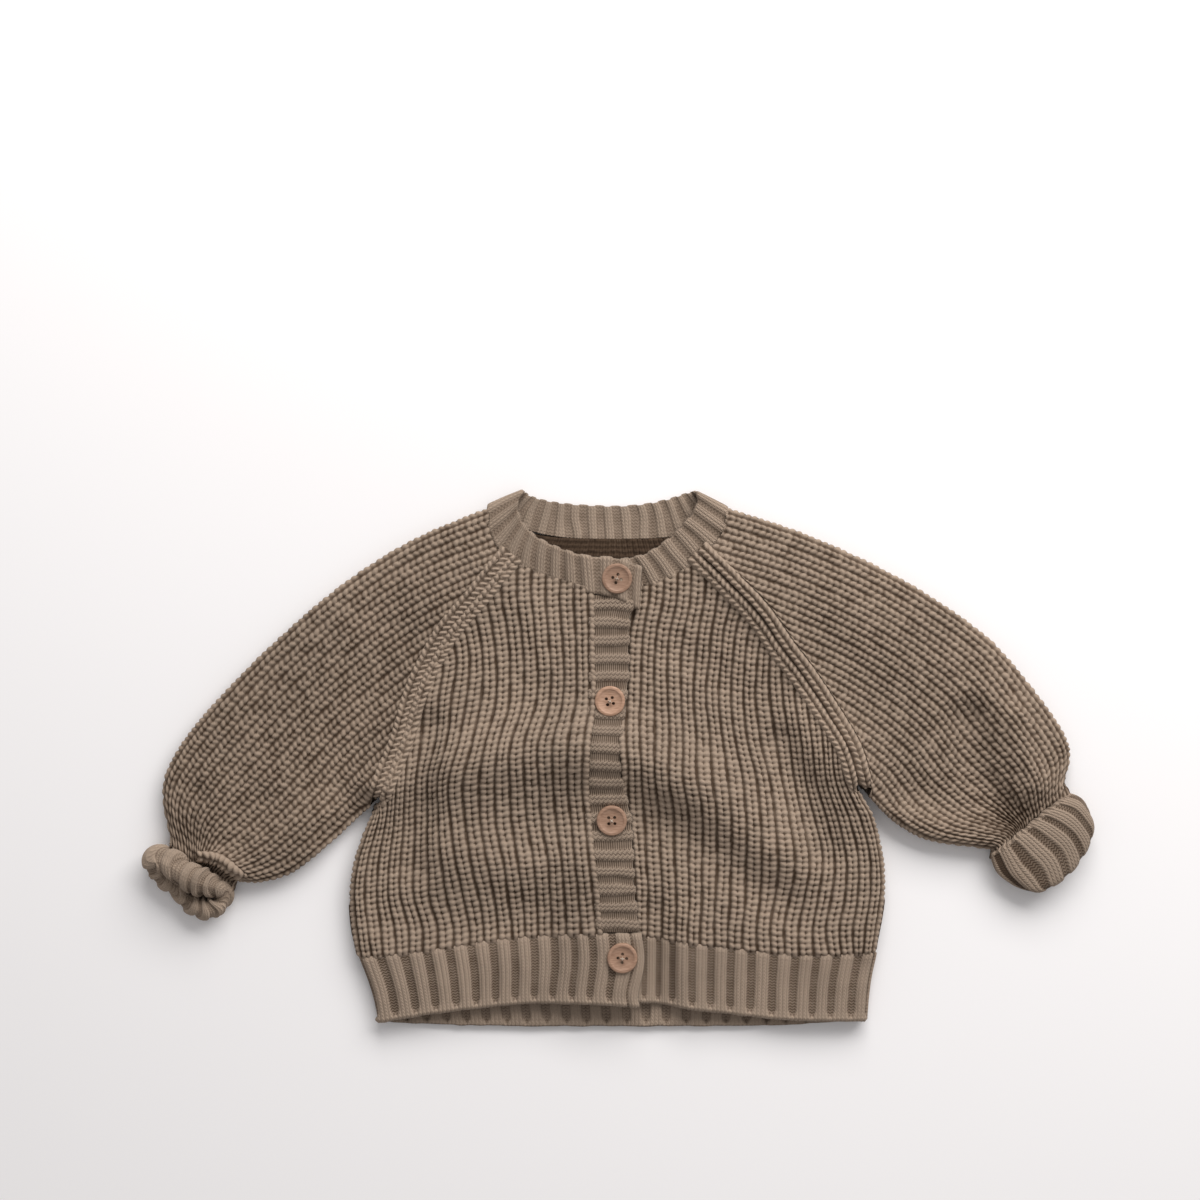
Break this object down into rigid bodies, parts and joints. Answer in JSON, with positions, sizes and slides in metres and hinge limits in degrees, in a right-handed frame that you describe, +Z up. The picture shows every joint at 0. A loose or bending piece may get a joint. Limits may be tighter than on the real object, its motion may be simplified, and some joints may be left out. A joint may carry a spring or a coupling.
{
  "type": "crew-neck baby cardigan",
  "caption": "Chunky rib-knit baby cardigan with raglan sleeves, a ribbed crew neckband, hem and turned-back cuffs, buttoned up and laid flat on its back.",
  "frame": {"origin": "under the middle of the laid garment's bounding box, on the surface it lies on", "axes": "+X from the wearer's right sleeve to the left one, +Y towards the neck, +Z up from the surface"},
  "size_m": [0.5693, 0.3223, 0.0167],
  "materials": {
    "knit": "chunky half-cardigan rib knit in soft matt yarn",
    "rib": "finer rib knit in the same matt yarn",
    "wood": "smooth unlacquered wood, satin"
  },
  "bodies": {
    "root": {"back": "knit", "front_right": "knit", "front_left": "knit", "sleeve_right": "knit", "sleeve_left": "knit", "hem_rib_back": "rib", "hem_rib_right": "rib", "hem_rib_left": "rib", "buttonhole_band": "rib", "button_band": "rib", "neckband": "rib", "cuff_right": "rib", "cuff_left": "rib", "button_1": "wood", "button_2": "wood", "button_3": "wood", "button_4": "wood"}
  },
  "joints": []
}
